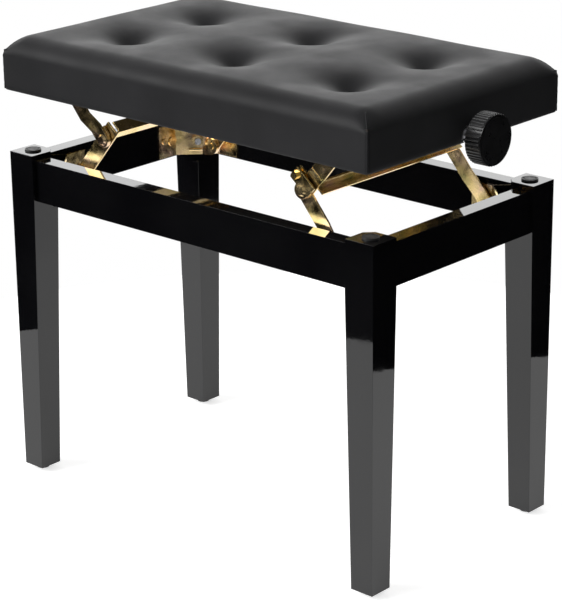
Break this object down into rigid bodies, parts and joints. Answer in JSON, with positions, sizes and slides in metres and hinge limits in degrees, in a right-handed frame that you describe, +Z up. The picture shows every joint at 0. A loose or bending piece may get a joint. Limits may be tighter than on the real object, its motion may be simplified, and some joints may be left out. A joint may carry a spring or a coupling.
{
  "type": "piano bench",
  "caption": "Height-adjustable piano bench with a tufted padded seat on folding steel arms over a gloss black four-legged wooden base, raised and lowered by a side knob.",
  "frame": {"origin": "middle of the whole bench's footprint, on the floor", "axes": "+X along the bench towards the knob, +Y to the back, +Z up"},
  "size_m": [0.5902, 0.3262, 0.5452],
  "materials": {
    "lacquer": "high-gloss black polyester lacquer on wood",
    "zinc_steel": "yellow chromate zinc plate",
    "bright_steel": "bright zinc plate",
    "vinyl": "fine-grained black vinyl",
    "black_plastic": "satin moulded plastic",
    "rubber": "matt rubber",
    "wood": "dark-stained wood"
  },
  "bodies": {
    "frame": {"leg_front_left": "lacquer", "leg_front_right": "lacquer", "leg_back_left": "lacquer", "leg_back_right": "lacquer", "apron_front": "lacquer", "apron_back": "lacquer", "apron_left": "lacquer", "apron_right": "lacquer", "bracket_front_left": "zinc_steel", "bracket_front_right": "zinc_steel", "bracket_back_left": "zinc_steel", "bracket_back_right": "zinc_steel", "bracket_screws": "zinc_steel", "hanger_bolts": "bright_steel", "hanger_nuts": "zinc_steel", "leg_top_pads": "rubber", "foot_glides": "rubber", "base_pivot_ears": "zinc_steel", "base_pivot_pins": "zinc_steel"},
    "left_lower_arm": {"left_lower_yoke": "zinc_steel", "left_knee_pins": "zinc_steel"},
    "left_upper_arm": {"left_upper_strip_front": "zinc_steel", "left_upper_strip_back": "zinc_steel", "left_knee_plates": "zinc_steel", "left_crank_tube": "zinc_steel"},
    "right_lower_arm": {"right_lower_strip_front": "zinc_steel", "right_lower_strip_back": "zinc_steel"},
    "right_upper_arm": {"right_upper_yoke": "zinc_steel", "right_knee_plates": "zinc_steel", "right_knee_pins": "zinc_steel", "right_link_bolts": "zinc_steel", "right_crank_tube": "zinc_steel", "right_upper_pins": "zinc_steel"},
    "seat": {"seat_board_front": "wood", "seat_board_back": "wood", "seat_board_left": "wood", "seat_board_right": "wood", "seat_panel": "wood", "seat_buttons": "vinyl", "seat_rail_left": "zinc_steel", "seat_rail_right": "zinc_steel", "seat_rail_screws": "zinc_steel", "seat_pivot_pins": "zinc_steel", "cushion": "vinyl", "cover_skirt": "vinyl", "rod_bearing_left": "zinc_steel", "rod_bearing_right": "zinc_steel", "knob_escutcheon": "bright_steel"},
    "left_nut": {"left_trunnion_nut": "zinc_steel"},
    "right_nut": {"right_trunnion_nut": "zinc_steel"},
    "drive_screw": {"drive_rod": "bright_steel", "rod_collars": "bright_steel", "knob": "black_plastic", "knob_cap": "black_plastic"}
  },
  "joints": [
    {"name": "left_lower_pivot", "type": "hinge", "parent": "frame", "child": "left_lower_arm", "pos_m": [-0.2292, 0, 0.361], "axis": [0, -1, 0], "range_deg": [-28.5, 15]},
    {"name": "left_knee", "type": "hinge", "parent": "left_lower_arm", "child": "left_upper_arm", "pos_m": [-0.1709, 0, 0.43048], "axis": [0, -1, 0], "range_deg": [-30, 57]},
    {"name": "left_seat_pivot", "type": "hinge", "parent": "left_upper_arm", "child": "seat", "pos_m": [-0.2292, 0, 0.49996], "axis": [0, -1, 0], "range_deg": [-28.5, 15]},
    {"name": "right_lower_pivot", "type": "hinge", "parent": "frame", "child": "right_lower_arm", "pos_m": [0.1934, 0, 0.361], "axis": [0, -1, 0], "range_deg": [-15, 28.5]},
    {"name": "right_knee", "type": "hinge", "parent": "right_lower_arm", "child": "right_upper_arm", "pos_m": [0.1351, 0, 0.43048], "axis": [0, -1, 0], "range_deg": [-57, 30]},
    {"name": "left_nut_slide", "type": "slide", "parent": "seat", "child": "left_nut", "axis": [-1, 0, 0], "range_m": [-0.00693, 0.0037]},
    {"name": "right_nut_slide", "type": "slide", "parent": "seat", "child": "right_nut", "axis": [1, 0, 0], "range_m": [-0.00693, 0.0037]},
    {"name": "knob_turn", "type": "hinge", "parent": "seat", "child": "drive_screw", "pos_m": [-0.0179, 0, 0.487], "axis": [1, 0, 0], "range_deg": [-1641.1, 864.2]}
  ],
  "couplings": [
    {"joint": "left_knee", "follows": "left_lower_pivot", "ratio": -2},
    {"joint": "left_seat_pivot", "follows": "left_lower_pivot", "ratio": 1},
    {"joint": "right_lower_pivot", "follows": "left_lower_pivot", "ratio": -1},
    {"joint": "right_knee", "follows": "left_lower_pivot", "ratio": 2},
    {"joint": "left_nut_slide", "follows": "left_lower_pivot", "m_per_rad": 0.013738},
    {"joint": "right_nut_slide", "follows": "left_lower_pivot", "m_per_rad": 0.013738},
    {"joint": "knob_turn", "follows": "left_lower_pivot", "ratio": 57.546}
  ]
}
